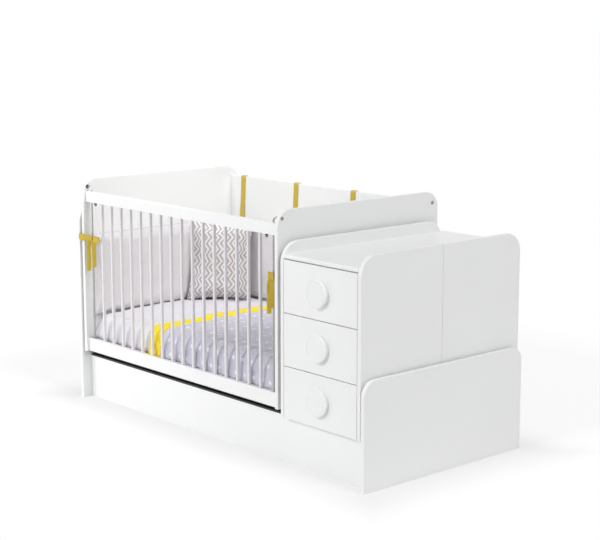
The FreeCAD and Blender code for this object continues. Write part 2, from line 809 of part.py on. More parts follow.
# A padded wall: flat behind, bulging in front, with its upper and lower edges drawn in
def bumper_section(point):
    back = face_clearance
    edge = back + bumper_t - bumper_bulge
    z0 = bumper_z0
    z1 = bumper_top
    mid_z = (z0 + z1) / 2
    low = z0 + bumper_edge_draw
    high = z1 - bumper_edge_draw
    turn = bumper_edge_draw * (1 - math.sqrt(0.5))
    flat = edge - bumper_edge_draw
    return face_of([
        segment(point(back, z0), point(flat, z0)),
        arc(point(flat, z0), point(edge - turn, z0 + turn), point(edge, low)),
        arc(point(edge, low), point(edge + bumper_bulge, mid_z), point(edge, high)),
        arc(point(edge, high), point(edge - turn, z1 - turn), point(flat, z1)),
        segment(point(flat, z1), point(back, z1)),
        segment(point(back, z1), point(back, z0)),
    ])


def bumper_left():
    def point(a, z):
        return Vector(crib_in0 + a, stretcher_y0, z)

    run = rear_y0 - face_clearance - stretcher_y0
    return bumper_section(point).extrude(Vector(0, run, 0))


def bumper_right():
    def point(a, z):
        return Vector(crib_in1 - a, stretcher_y0, z)

    run = rear_y0 - face_clearance - stretcher_y0
    return bumper_section(point).extrude(Vector(0, run, 0))


def bumper_rear():
    inset = face_clearance + bumper_t + bumper_corner_gap

    def point(a, z):
        return Vector(crib_in0 + inset, rear_y0 - a, z)

    return bumper_section(point).extrude(Vector(crib_in1 - crib_in0 - inset * 2, 0, 0))


# Tape ties from the rear bumper's top, over the panel and down behind it
def bumper_straps():
    straps = []
    gap = face_clearance
    y0 = rear_y0 - gap
    y1 = rear_y0 + board_t + gap
    top = rear_panel_top + gap
    for i in range(strap_count):
        x = crib_mid_x + strap_shift + (i - (strap_count - 1) / 2) * strap_pitch
        x0 = x - strap_w / 2
        outline = [(y0 - strap_t, bumper_top + gap), (y0, bumper_top + gap), (y0, top), (y1, top),
                   (y1, top - strap_tail), (y1 + strap_t, top - strap_tail), (y1 + strap_t, top + strap_t),
                   (y0 - strap_t, top + strap_t)]
        band = polygon([Vector(x0, y, z) for y, z in outline]).extrude(Vector(strap_w, 0, 0))
        root = block(x0, x0 + strap_w, y0 - strap_root, y0, bumper_top + gap, bumper_top + gap + strap_t)
        straps.append(band.fuse(root).removeSplitter())
    return group(straps)


# One ribbon loop, a closed band round an open eye, lying in the plane of X and Z
def bow_loop(x, y, z, side):
    def eye(shrink):
        start = Vector(x + side * shrink, y, z)
        tip = Vector(x + side * (bow_loop_len - shrink), y, z)
        lift = bow_loop_h / 2 - shrink
        mid_x = x + side * bow_loop_len / 2
        upper = arc(start, Vector(mid_x, y, z + lift), tip)
        lower = arc(tip, Vector(mid_x, y, z - lift), start)
        return face_of([upper, lower]).extrude(Vector(0, bow_ribbon_w, 0))

    return eye(0).cut(eye(bow_ribbon_t))


# A tied bow: a band round the rod, a knot in front of it, two loops and two tails
def bow(x):
    y0 = rod_y - bow_reach
    y1 = y0 + bow_ribbon_w
    knot = Part.makeCylinder(bow_knot_r, bow_ribbon_w, Vector(x, y0, bow_z), Vector(0, 1, 0))
    band_r = rod_r + face_clearance
    band_z0 = bow_z - bow_ribbon_w / 2
    ring = Part.makeCylinder(band_r + bow_ribbon_t, bow_ribbon_w, Vector(x, rod_y, band_z0))
    link = block(x - bow_ribbon_t, x + bow_ribbon_t, y1 - bow_ribbon_t, rod_y, band_z0 + bow_ribbon_t,
                 band_z0 + bow_ribbon_w - bow_ribbon_t)
    hole = Part.makeCylinder(band_r, bow_ribbon_w + cut_overrun * 2, Vector(x, rod_y, band_z0 - cut_overrun))
    pieces = [ring, link]
    for side in (-1, 1):
        pieces.append(bow_loop(x, y0, bow_z, side))
        tail_y = y0 + (side + 2) * bow_ribbon_t
        top = Vector(x - bow_ribbon_w / 2, tail_y, bow_z)
        foot = top + Vector(side * bow_tail_splay, 0, -bow_tail_len)
        wide = Vector(bow_ribbon_w, 0, 0)
        pieces.append(polygon([top, top + wide, foot + wide, foot]).extrude(Vector(0, bow_ribbon_t, 0)))
    return knot.fuse(pieces).cut(hole).removeSplitter()


def bumper_bows():
    return group([bow(x) for x in rod_xs])


# A stuffed cushion standing a little askew in the rear left corner: lens sections that thicken to the middle
def pillow():
    sections = []
    for share in pillow_section_shares:
        swell = math.sin(math.pi * share)
        half_w = pillow_w / 2 - pillow_draw * swell
        half_t = (pillow_edge_t + (pillow_t - pillow_edge_t) * math.sqrt(swell)) / 2
        z = pillow_h * share
        mid_x = z * math.tan(math.radians(pillow_slant_deg))
        left = Vector(mid_x - half_w, 0, z)
        right = Vector(mid_x + half_w, 0, z)
        front = arc(left, Vector(mid_x, -half_t, z), right)
        back = arc(right, Vector(mid_x, half_t, z), left)
        sections.append(Part.Wire([front, back]))
    solid = Part.makeLoft(sections, True, False)
    solid.rotate(Vector(0, 0, 0), Vector(1, 0, 0), -pillow_lean_deg)
    solid.rotate(Vector(0, 0, 0), Vector(0, 0, 1), pillow_turn_deg)
    x = crib_in0 + pillow_corner_dist_x
    y = rear_y0 - pillow_corner_dist_y
    solid.translate(Vector(x, y, mattress_top + pillow_lift))
    return solid


drawer_names = ("bottom", "middle", "top")
roller_names = ("front_left", "rear_left", "front_right", "rear_right")

nodes = {
    "headboard": headboard(),
    "footboard": footboard(),
    "base_front_rail": base_front_rail(),
    "base_rear_rail": base_rear_rail(),
    "base_rail_caps": base_rail_caps(),
    "base_cross_beams": base_cross_beams(),
    "roller_brackets": roller_brackets(),
    "roller_axles": roller_axles(),
    "dresser_left_side": dresser_left_side(),
    "dresser_right_side_front": dresser_right_side_front(),
    "dresser_right_side_rear": dresser_right_side_rear(),
    "dresser_top": dresser_top(),
    "dresser_bottom": dresser_bottom(),
    "dresser_partition": dresser_partition(),
    "dresser_back": dresser_back(),
    "drawer_channels": drawer_channels(),
    "crib_left_end": crib_left_end(),
    "crib_right_end": crib_right_end(),
    "crib_rear_panel": crib_rear_panel(),
    "crib_front_stretcher": crib_front_stretcher(),
    "deck_bearers": deck_bearers(),
    "mattress_deck": mattress_deck(),
    "carriage_frame": carriage_frame(),
    "rockers": group([rocker(x) for x in rocker_xs]),
    "guard_top_rail": guard_top_rail(),
    "guard_bottom_rail": guard_bottom_rail(),
    "guard_slats": guard_slats(),
    "guard_rods": guard_rods(),
    "guard_rod_collars": guard_rod_collars(),
    "guard_catch_left": guard_catch(catch_xs()[0]),
    "guard_catch_right": guard_catch(catch_xs()[1]),
    "crib_bolt_caps": crib_bolt_caps(),
    "mattress": mattress(),
    "quilt": quilt(),
    "quilt_border": quilt_border(),
    "bumper_left": bumper_left(),
    "bumper_rear": bumper_rear(),
    "bumper_right": bumper_right(),
    "bumper_straps": bumper_straps(),
    "bumper_bows": bumper_bows(),
    "pillow": pillow(),
}
for i, name in enumerate(drawer_names):
    nodes["drawer_%s_front" % name] = drawer_front(i)
    nodes["drawer_%s_box" % name] = drawer_box(i)
    nodes["drawer_%s_base" % name] = drawer_bottom(i)
    nodes["drawer_%s_slides" % name] = drawer_slides(i)
    nodes["drawer_%s_knob" % name] = drawer_knob(i)
for name, (x, y) in zip(roller_names, roller_places()):
    nodes["roller_%s" % name] = roller(x, y)

os.makedirs("parts", exist_ok=True)
for name, shape in nodes.items():
    shape.exportStep("parts/%s.step" % name)
print("nodes", len(nodes), "rocking axis at", round(rock_y, 3), round(rocker_axis_z, 3))
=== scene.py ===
import json
import math

import bpy
import numpy as np
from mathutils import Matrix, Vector


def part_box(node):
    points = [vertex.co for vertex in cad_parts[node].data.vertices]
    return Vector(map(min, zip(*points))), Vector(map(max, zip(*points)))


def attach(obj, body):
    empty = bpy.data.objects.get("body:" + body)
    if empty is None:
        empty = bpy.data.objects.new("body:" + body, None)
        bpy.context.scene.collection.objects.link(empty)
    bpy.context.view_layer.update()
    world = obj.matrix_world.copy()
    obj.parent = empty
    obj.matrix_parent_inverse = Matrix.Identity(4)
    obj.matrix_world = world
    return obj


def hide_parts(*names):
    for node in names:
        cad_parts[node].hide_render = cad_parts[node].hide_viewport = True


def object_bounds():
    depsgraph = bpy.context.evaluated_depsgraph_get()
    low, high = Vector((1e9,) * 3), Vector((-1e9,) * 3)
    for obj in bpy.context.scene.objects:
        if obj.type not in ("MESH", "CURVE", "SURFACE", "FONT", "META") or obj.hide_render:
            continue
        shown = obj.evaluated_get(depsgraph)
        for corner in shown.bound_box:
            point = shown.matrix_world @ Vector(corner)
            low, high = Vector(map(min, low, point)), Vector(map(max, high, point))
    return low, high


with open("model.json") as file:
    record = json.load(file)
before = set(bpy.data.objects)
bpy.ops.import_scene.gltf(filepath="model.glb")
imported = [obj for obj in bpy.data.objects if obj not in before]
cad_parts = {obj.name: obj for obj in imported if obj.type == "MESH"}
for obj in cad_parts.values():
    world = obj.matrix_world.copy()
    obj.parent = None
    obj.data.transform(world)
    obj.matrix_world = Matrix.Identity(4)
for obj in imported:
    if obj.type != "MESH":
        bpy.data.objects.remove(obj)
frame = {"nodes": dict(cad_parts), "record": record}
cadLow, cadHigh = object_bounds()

nodes = frame["nodes"]
scene = bpy.context.scene
scene.view_settings.view_transform = "Standard"
print("frame loaded, nodes:", len(nodes))


# Camera: fitted to the photograph's edges, a long lens a little above the crib's top
cameraSpec = {
    "place": (4.8047, -4.1987, 1.8303), "yawDeg": 138.3576, "pitchDeg": -10.310,
    "lensMm": 90.59, "sensorMm": 36.0,
}


def makeCamera(spec):
    data = bpy.data.cameras.new("studioCamera")
    data.lens = spec["lensMm"]
    data.sensor_width = spec["sensorMm"]
    camera = bpy.data.objects.new("studioCamera", data)
    yaw, pitch = math.radians(spec["yawDeg"]), math.radians(spec["pitchDeg"])
    aim = Vector((math.cos(pitch) * math.cos(yaw), math.cos(pitch) * math.sin(yaw), math.sin(pitch)))
    camera.location = spec["place"]
    camera.rotation_euler = aim.to_track_quat("-Z", "Y").to_euler()
    scene.collection.objects.link(camera)
    scene.camera = camera


makeCamera(cameraSpec)


# sRGB hex to the linear values that a socket takes
def colour(hexText):
    parts = np.array([int(hexText[i:i + 2], 16) for i in (1, 3, 5)]) / 255.0
    linear = np.where(parts <= 0.04045, parts / 12.92, ((parts + 0.055) / 1.055) ** 2.4)
    return (*linear.tolist(), 1.0)


# One node: settings are its own, inputs are values to set or sockets to link
def add(tree, kind, inputs=None, **settings):
    node = tree.nodes.new("ShaderNode" + kind)
    for name, value in settings.items():
        setattr(node, name, value)
    for name, value in (inputs or {}).items():
        if isinstance(value, bpy.types.NodeSocket):
            tree.links.new(value, node.inputs[name])
        else:
            node.inputs[name].default_value = value
    return node


# One step of arithmetic on sockets or numbers
def calc(tree, operation, *values):
    return add(tree, "Math", dict(enumerate(values)), operation=operation).outputs[0]


# A colour between two, each a hex or a socket, by a factor from 0 to 1
def blend(tree, factor, low, high):
    ends = [colour(end) if isinstance(end, str) else end for end in (low, high)]
    return add(tree, "Mix", {0: factor, 6: ends[0], 7: ends[1]}, data_type="RGBA").outputs[2]


# A value between two, by a factor that runs from start to end
def between(tree, factor, low, high, start=0.0, end=1.0):
    return add(tree, "MapRange", {0: factor, 1: start, 2: end, 3: low, 4: high}).outputs[0]


# A texture's scale from the size of its features in millimetres, on coordinates in metres
def perMm(size):
    return 1000.0 / size


# Cloudy noise with features of about a size
def noise(tree, place, sizeMm, detail, **more):
    inputs = {"Vector": place, "Scale": perMm(sizeMm), "Detail": detail, **more}
    return add(tree, "TexNoise", inputs).outputs[0]


# A bump from a height, with its depth in metres
def relief(tree, height, strength, depth):
    return add(tree, "Bump", {"Height": height, "Strength": strength, "Distance": depth}).outputs[0]


# A named material with its shader's plain sockets set
def startMaterial(name, sockets):
    material = bpy.data.materials.new(name)
    material.use_nodes = True
    tree = material.node_tree
    shader = tree.nodes["Principled BSDF"]
    for key, value in sockets.items():
        shader.inputs[key].default_value = value
    return material, tree, shader


# Links what was worked out to the shader's sockets
def wire(tree, shader, sources):
    for name, source in sources.items():
        tree.links.new(source, shader.inputs[name])


# Stage: a pale floor that goes on as far as the lens sees, a white world and soft lamps
stageSpec = {
    "floorHalf": 60.0, "floorHex": "#f4f4f4", "seenFloorHex": "#989898", "paintedShadeNearLift": 0.59, "farLift": 0.745,
    "liftReach": 0.36, "liftInset": 0.02, "worldLevel": 0.37, "sunsAway": 6.0,
    "suns": {  # the way to the light, its spread in degrees and its strength
        "keyFront": ((-0.04, -0.86, 0.50), 9.0, 0.96),
        "frontSoft": ((-0.10, -0.78, 0.62), 80.0, 0.25),
        "fillRight": ((0.70, 0.03, 0.69), 18.0, 1.07),
    },
    "softLamps": {  # where it stands, what it is aimed at, its size, its beam in degrees and its watts
        "cribLamp": ((0.15, 0.0, 2.2), (-0.88, 0.10, 0.95), 0.8, 85.0, 2.8),
        "leftLamp": ((-1.9, -2.2, 0.8), (-0.65, -0.38, 0.35), 1.2, 80.0, 2.9),
    },
}


# White to the camera and in reflections, and a soft grey dome for the light itself
def makeWorld(spec):
    world = bpy.data.worlds.new("studioWorld")
    scene.world = world
    world.use_nodes = True
    tree = world.node_tree
    tree.nodes.clear()
    path = add(tree, "LightPath").outputs
    seen = path["Is Camera Ray"]
    for ray in ("Is Glossy Ray", "Is Transmission Ray"):
        seen = calc(tree, "MAXIMUM", seen, path[ray])
    level = add(tree, "Mix", {0: seen, 2: spec["worldLevel"], 3: 1.0}, data_type="FLOAT").outputs[0]
    light = add(tree, "Background", {"Color": (1, 1, 1, 1), "Strength": level})
    add(tree, "OutputWorld", {"Surface": light.outputs[0]})


# The floor takes the shadow. To the camera it is a greyer paint with a glow that lifts it to white,
# which keeps the shadow faint, and to the object it is pale. Under the object there is no glow, so the
# greyer paint is seen there unlifted, a painted shade darker than the pale floor in the gaps under the base;
# beside it the glow is a little less than far away, a painted contact shade round the object's foot
def makeFloor(spec):
    half = spec["floorHalf"]
    mesh = bpy.data.meshes.new("studioFloor")
    corners = [(-half, -half, 0), (half, -half, 0), (half, half, 0), (-half, half, 0)]
    mesh.from_pydata(corners, [], [(0, 1, 2, 3)])
    floor = bpy.data.objects.new("studioFloor", mesh)
    scene.collection.objects.link(floor)
    material = bpy.data.materials.new("paleStudioFloor")
    material.use_nodes = True
    tree = material.node_tree
    tree.nodes.clear()
    seen = add(tree, "LightPath").outputs["Is Camera Ray"]
    paint = add(tree, "BsdfDiffuse", {"Color": blend(tree, seen, spec["floorHex"], spec["seenFloorHex"])})
    place = add(tree, "SeparateXYZ", {0: add(tree, "TexCoord").outputs["Object"]}).outputs
    past = []
    for axis, reach in (("X", cadHigh.x), ("Y", -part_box("base_front_rail")[0].y)):
        past.append(calc(tree, "SUBTRACT", calc(tree, "ABSOLUTE", place[axis]), reach - spec["liftInset"]))
    away = calc(tree, "MAXIMUM", *past)
    # Less glow near the object: a painted contact shade on the floor
    level = add(tree, "MapRange", {0: away, 1: 0.0, 2: spec["liftReach"], 3: spec["paintedShadeNearLift"],
                                   4: spec["farLift"]}, interpolation_type="SMOOTHSTEP").outputs[0]
    # No glow under the object: the greyer paint seen there is a painted shade
    lift = calc(tree, "MULTIPLY", calc(tree, "MULTIPLY", seen, level), calc(tree, "GREATER_THAN", away, 0.0))
    glow = add(tree, "Emission", {"Color": (1, 1, 1, 1), "Strength": lift})
    both = add(tree, "AddShader", {0: paint.outputs[0], 1: glow.outputs[0]})
    add(tree, "OutputMaterial", {"Surface": both.outputs[0]})
    mesh.materials.append(material)


# Aims a lamp along a direction
def placeLamp(name, data, place, direction):
    lamp = bpy.data.objects.new(name, data)
    lamp.location = place
    lamp.rotation_euler = direction.to_track_quat("-Z", "Y").to_euler()
    scene.collection.objects.link(lamp)


# Suns light the floor evenly to its far edge, and soft lamps reach into the crib and along its left half
def makeLamps(spec):
    for name, (toLight, spread, strength) in spec["suns"].items():
        data = bpy.data.lights.new(name, "SUN")
        data.angle = math.radians(spread)
        data.energy = strength
        placeLamp(name, data, Vector(toLight) * spec["sunsAway"], -Vector(toLight))
    for name, (place, aim, size, beam, watts) in spec["softLamps"].items():
        data = bpy.data.lights.new(name, "AREA")
        data.size = size
        data.spread = math.radians(beam)
        data.energy = watts
        placeLamp(name, data, place, Vector(aim) - Vector(place))


makeWorld(stageSpec)
makeFloor(stageSpec)
makeLamps(stageSpec)
print("camera, floor and lamps made")


# Polyurethane lacquer sprayed on boards or on wooden slats: smooth, softly glossy, with a faint orange peel
def lacquerMaterial(name, lowHex, highHex):
    material, tree, shader = startMaterial(name, {"IOR": 1.5})
    place = add(tree, "TexCoord").outputs["Object"]
    drift = noise(tree, place, sizeMm=420, detail=2.0)
    peel = noise(tree, place, sizeMm=5, detail=3.0)
    rub = noise(tree, place, sizeMm=90, detail=4.0)
    wire(tree, shader, {
        "Base Color": blend(tree, drift, lowHex, highHex),
        "Roughness": between(tree, rub, 0.30, 0.40, start=0.3, end=0.7),
        "Normal": relief(tree, peel, strength=0.05, depth=0.0004),
    })
    return material


# Melamine-faced chipboard: matt white with a pearled press grain
def laminateMaterial():
    material, tree, shader = startMaterial("pearledWhiteMelamine", {"IOR": 1.5, "Roughness": 0.5})
    place = add(tree, "TexCoord").outputs["Object"]
    pearl = noise(tree, place, sizeMm=3, detail=2.0)
    drift = noise(tree, place, sizeMm=200, detail=2.0)
    wire(tree, shader, {
        "Base Color": blend(tree, drift, "#e8e8e5", "#eeeeec"),
        "Normal": relief(tree, pearl, strength=0.12, depth=0.0005),
    })
    return material


# Birch plywood, sanded: long grain along X with darker growth lines. Its tone is darkened and greyed
# as painted shade, so that its edge in the gap before the mattress reads as shadow
def birchMaterial():
    material, tree, shader = startMaterial("birchPlyGreyedAsShade", {"IOR": 1.5})
    place = add(tree, "TexCoord").outputs["Object"]
    along = add(tree, "Mapping", {"Vector": place, "Scale": (0.08, 1.0, 1.0)}).outputs[0]
    growth = noise(tree, along, sizeMm=28, detail=6.0, Distortion=0.6)
    pores = noise(tree, along, sizeMm=3, detail=3.0)
    tone = add(tree, "ValToRGB", {0: growth})
    # These tones, darker and greyer than bare birch, are painted shade
    for element, (position, hexText) in zip(tone.color_ramp.elements, ((0.35, "#8d8273"), (0.65, "#a0957f"))):
        element.position = position
        element.color = colour(hexText)
    wire(tree, shader, {
        "Base Color": tone.outputs[0],
        "Roughness": between(tree, pores, 0.48, 0.66),
        "Normal": relief(tree, pores, strength=0.15, depth=0.0004),
    })
    return material


# Powder-coated steel: black, with a fine pebbled skin
def powderCoatMaterial():
    material, tree, shader = startMaterial("blackPowderCoat", {"IOR": 1.5})
    place = add(tree, "TexCoord").outputs["Object"]
    pebble = add(tree, "TexVoronoi", {"Vector": place, "Scale": perMm(2.5)}).outputs[0]
    wear = noise(tree, place, sizeMm=60, detail=5.0)
    wire(tree, shader, {
        "Base Color": blend(tree, wear, "#26272a", "#2f3032"),
        "Roughness": between(tree, wear, 0.42, 0.58),
        "Normal": relief(tree, pebble, strength=0.2, depth=0.0003),
    })
    return material


# Moulded plastic in one tone: a fine spark texture and a slightly uneven gloss
def mouldedMaterial(name, lowHex, highHex, gloss):
    material, tree, shader = startMaterial(name, {"IOR": 1.46})
    place = add(tree, "TexCoord").outputs["Object"]
    spark = noise(tree, place, sizeMm=1.2, detail=3.0)
    drift = noise(tree, place, sizeMm=25, detail=2.0)
    wire(tree, shader, {
        "Base Color": blend(tree, drift, lowHex, highHex),
        "Roughness": between(tree, drift, gloss - 0.05, gloss + 0.06),
        "Normal": relief(tree, spark, strength=0.12, depth=0.0003),
    })
    return material


# Zinc-plated steel, drawn and bright: fine streaks along the piece and a clouded gloss
def zincMaterial():
    material, tree, shader = startMaterial("brightZincPlatedSteel", {"Metallic": 1.0})
    place = add(tree, "TexCoord").outputs["Object"]
    drawn = add(tree, "Mapping", {"Vector": place, "Scale": (1.0, 1.0, 0.05)}).outputs[0]
    streak = noise(tree, drawn, sizeMm=1.5, detail=3.0)
    cloud = noise(tree, place, sizeMm=30, detail=3.0)
    wire(tree, shader, {
        "Base Color": blend(tree, cloud, "#a9a9a8", "#c4c4c3"),
        "Roughness": between(tree, streak, 0.22, 0.40),
        "Normal": relief(tree, streak, strength=0.08, depth=0.0002),
    })
    return material


# The push catch: a dark collar under the rail and a paler tip below it, told apart by height
def catchMaterial():
    tipHeight = 0.009  # from the tip's end up to the collar
    material, tree, shader = startMaterial("catchTwoTonePlastic", {"IOR": 1.46, "Roughness": 0.42})
    place = add(tree, "TexCoord").outputs["Object"]
    height = add(tree, "SeparateXYZ", {0: place}).outputs["Z"]
    upper = calc(tree, "GREATER_THAN", height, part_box("guard_catch_left")[0].z + tipHeight)
    spark = noise(tree, place, sizeMm=1.2, detail=2.0)
    wire(tree, shader, {
        "Base Color": blend(tree, upper, "#8f8f90", "#2e2e30"),
        "Normal": relief(tree, spark, strength=0.1, depth=0.0002),
    })
    return material


# Which finish each of the record's slots takes on the rigid pieces
finishes = {
    "white_lacquer": lacquerMaterial("whiteSprayedLacquer", "#f0f1f0", "#f4f5f5"),
    "white_laminate": laminateMaterial(),
    "birch_board": birchMaterial(),
    "black_steel": powderCoatMaterial(),
    "black_plastic": mouldedMaterial("blackEdgeTrimPlastic", "#2b2c2e", "#333436", 0.5),
    "bright_steel": zincMaterial(),
    "grey_nylon": mouldedMaterial("greyCastNylon", "#b4b5b6", "#c0c1c2", 0.42),
    "dark_plastic": catchMaterial(),
    "cap_plastic": mouldedMaterial("greyCapPlastic", "#8d8d8d", "#a2a2a2", 0.4),
}
slatFinishWithPaintedShade = lacquerMaterial("slatLacquerGreyedAsShade", "#e2e0e4", "#e8e6ea")  # greyer than the boards' lacquer: painted shade, the shade that falls between the close-set slats


def dressRigidNodes():
    slotOf = {row["node"]: row["material_slot"] for row in frame["record"]["subparts"]}
    for name, piece in nodes.items():
        finish = slatFinishWithPaintedShade if name == "guard_slats" else finishes.get(slotOf[name])
        if finish is None:
            continue
        piece.data.materials.clear()
        piece.data.materials.append(finish)


dressRigidNodes()
print("rigid pieces dressed")


# Quads between neighbouring points of a grid of point numbers
def gridQuads(index):
    return np.stack([index[:-1, :-1], index[1:, :-1], index[1:, 1:], index[:-1, 1:]], -1).reshape(-1, 4)


# Sample places across a pad, from minus half to half: even in the middle, closing up over the rolled rim
def rimSpacing(half, rim, step, rimSteps):
    inner = half - rim
    middle = np.linspace(-inner, inner, max(3, int(round(2 * inner / step)) + 1))
    turn = np.linspace(0, math.pi / 2, rimSteps + 1)[1:]
    outer = inner + rim * np.sin(turn)
    return np.concatenate([-outer[::-1], middle, outer])


# Height of a rolled rim, 0 at the edge and 1 a rim's width in: a quarter circle over that width,
# or a squarer curve where the fullness is over 2
def roll(inset, rim, fullness=2.0):
    return np.clip(1 - (1 - np.clip(inset / rim, 0, 1)) ** fullness, 0, 1) ** (1 / fullness)


# Two sheets of cloth sewn along their edge: places a and b on the flat pad, the rim's height there,
# which points belong to the back sheet, and the quads of both
def sewnSheets(halfA, halfB, rim, step, rimSteps, fullness=2.0):
    placesA = rimSpacing(halfA, rim, step, rimSteps)
    placesB = rimSpacing(halfB, rim, step, rimSteps)
    gridA, gridB = np.meshgrid(placesA, placesB, indexing="ij")
    front = np.arange(gridA.size).reshape(gridA.shape)
    inside = np.zeros(gridA.shape, bool)
    inside[1:-1, 1:-1] = True
    back = front.copy()
    back[inside] = gridA.size + np.arange(inside.sum())
    quads = np.concatenate([gridQuads(front), gridQuads(back)[:, ::-1]])
    a = np.concatenate([gridA.ravel(), gridA[inside]])
    b = np.concatenate([gridB.ravel(), gridB[inside]])
    isBack = np.arange(a.size) >= gridA.size
    rise = roll(halfA - np.abs(a), rim, fullness) * roll(halfB - np.abs(b), rim, fullness)
    return a, b, rise, isBack, quads


# Soft unevenness from about -1 to 1: waves of about one length, in many directions, added up
waveSpec = {"count": 16, "shortest": 0.7, "longest": 1.4, "level": 0.8}


def crumple(a, b, waveLength, seed, spec=waveSpec):
    draw = np.random.default_rng(seed)
    lows, highs = (0, 0, spec["shortest"]), (math.pi, 2 * math.pi, spec["longest"])
    total = np.zeros_like(a)
    for angle, phase, share in draw.uniform(lows, highs, (spec["count"], 3)):
        along = a * math.cos(angle) + b * math.sin(angle)
        total += np.sin(2 * math.pi * along / (waveLength * share) + phase)
    return total * spec["level"] / math.sqrt(spec["count"] / 2)


# A mesh piece from points and quads, with the flat place of each point kept as its UV in metres
def makePiece(name, points, quads, flat, material):
    mesh = bpy.data.meshes.new(name)
    mesh.from_pydata(points.tolist(), [], quads.tolist())
    corner = np.empty(len(mesh.loops), dtype=np.int32)
    mesh.loops.foreach_get("vertex_index", corner)
    mesh.uv_layers.new(name="flatPlace").data.foreach_set("uv", flat[corner].astype(np.float32).ravel())
    mesh.shade_smooth()
    mesh.materials.append(material)
    piece = bpy.data.objects.new(name, mesh)
    scene.collection.objects.link(piece)
    return piece


# Points of a flat pad's a, b and height t set out along three directions from an origin
def setOut(origin, axes, a, b, t):
    return np.asarray(origin) + np.stack([a, b, t], -1) @ np.asarray(axes)


def readPoints(piece):
    points = np.empty(len(piece.data.vertices) * 3)
    piece.data.vertices.foreach_get("co", points)
    return points.reshape(-1, 3)


def writePoints(piece, points):
    piece.data.vertices.foreach_set("co", points.ravel())
    piece.data.update()


# Cloth under pressure, with no gravity: the free points swell, no further than the cap
clothSpec = {"quality": 6, "mass": 0.2, "shearShare": 0.5}


def puff(piece, held, spec):
    group = piece.vertex_groups.new(name="held")
    group.add(np.flatnonzero(held).tolist(), 1.0, "REPLACE")
    stuffing = piece.modifiers.new("stuffing", "CLOTH")
    cloth = stuffing.settings
    cloth.quality = clothSpec["quality"]
    cloth.mass = clothSpec["mass"]
    cloth.tension_stiffness = spec["stretch"]
    cloth.compression_stiffness = spec["stretch"]
    cloth.shear_stiffness = spec["stretch"] * clothSpec["shearShare"]
    cloth.bending_stiffness = spec["bending"]
    cloth.shrink_min = -spec["ease"]
    cloth.use_pressure = True
    cloth.uniform_pressure_force = spec["pressure"]
    cloth.effector_weights.gravity = 0.0
    if held.any():
        cloth.vertex_group_mass = "held"
    stuffing.collision_settings.use_collision = False
    stuffing.point_cache.frame_end = spec["frames"]
    before = readPoints(piece)
    for step in range(1, spec["frames"] + 1):
        scene.frame_set(step)
    swollen = piece.evaluated_get(bpy.context.evaluated_depsgraph_get())
    move = readPoints(swollen) - before
    piece.modifiers.remove(stuffing)
    piece.vertex_groups.remove(group)
    reach = np.linalg.norm(move, axis=1, keepdims=True)
    move *= np.minimum(1, spec["cap"] / np.maximum(reach, 1e-9))
    writePoints(piece, before + move)
    scene.frame_set(1)
    print("puffed", piece.name, "by up to", round(float(reach.max()) * 1000, 1), "mm")


# Values of a table's columns at places along its rows
def sample(at, rows, table):
    return np.stack([np.interp(at, rows, column) for column in table.T], -1)


# A line through points, resampled evenly by length, and that length
def evenLine(points, count):
    points = np.asarray(points, float)
    run = np.concatenate([[0], np.cumsum(np.linalg.norm(np.diff(points, axis=0), axis=1))])
    return sample(np.linspace(0, run[-1], count), run, points), run[-1]


# A smooth line through a few points: Catmull-Rom between them
def smoothLine(points, spanSteps=12):
    points = np.asarray(points, float)
    ends = np.concatenate([[2 * points[0] - points[1]], points, [2 * points[-1] - points[-2]]])
    t = np.linspace(0, 1, spanSteps, endpoint=False)[:, None]
    spans = []
    for p, q, r, s in zip(ends, ends[1:], ends[2:], ends[3:]):
        spans.append(0.5 * (2 * q + (r - p) * t + (2 * p - 5 * q + 4 * r - s) * t ** 2
                            + (3 * q - p - 3 * r + s) * t ** 3))
    return np.concatenate(spans + [points[-1:]])


# A flat tape along a line: its width lies along the across direction, one for the line or a few along it
def tape(line, across, width, thick, step=0.004, cuts=161):
    line, length = evenLine(line, cuts)
    spread = np.asarray(across, float)
    if spread.ndim == 1:
        spread = np.tile(spread, (cuts, 1))
    else:
        spread = evenLine(spread, cuts)[0]
    a, b, rise, isBack, quads = sewnSheets(length / 2, width / 2, thick, step, rimSteps=2)
    at = (a / length + 0.5) * (cuts - 1)
    rows = np.arange(cuts)
    place = sample(at, rows, line)
    tangent = sample(at, rows, np.gradient(line, axis=0))
    side = sample(at, rows, spread)
    normal = np.cross(tangent, side)
    normal /= np.linalg.norm(normal, axis=1, keepdims=True)
    side = np.cross(normal, tangent)
    side /= np.linalg.norm(side, axis=1, keepdims=True)
    t = np.where(isBack, -0.5, 0.5) * thick * rise
    return place + side * b[:, None] + normal * t[:, None], quads, np.stack([a, b], -1)


# Several point and quad sets as one mesh
def together(parts):
    points, quads, flats, first = [], [], [], 0
    for part, faces, flat in parts:
        points.append(part)
        quads.append(faces + first)
        flats.append(flat)
        first += len(part)
    return np.concatenate(points), np.concatenate(quads), np.concatenate(flats)


# Black edge trim on the base rails: a flat U carried along each rail, its lips turned down over the faces
trimSpec = {
    "lip": 0.0045, "thick": 0.0012, "clear": 0.0002, "outerRound": 0.0014, "innerRound": 0.0004,
    "arcSteps": 5,
}


# The U's line from one lip's end over its top to the other's, with its corners rounded by arcs
def trimLine(reach, top, drop, bend, steps):
    turn = np.linspace(0, math.pi / 2, steps)
    arc = np.stack([reach - bend + bend * np.cos(turn), top - bend + bend * np.sin(turn)], -1)
    half = np.concatenate([[(reach, top - drop)], arc])
    return np.concatenate([half, (half * (-1, 1))[::-1]])


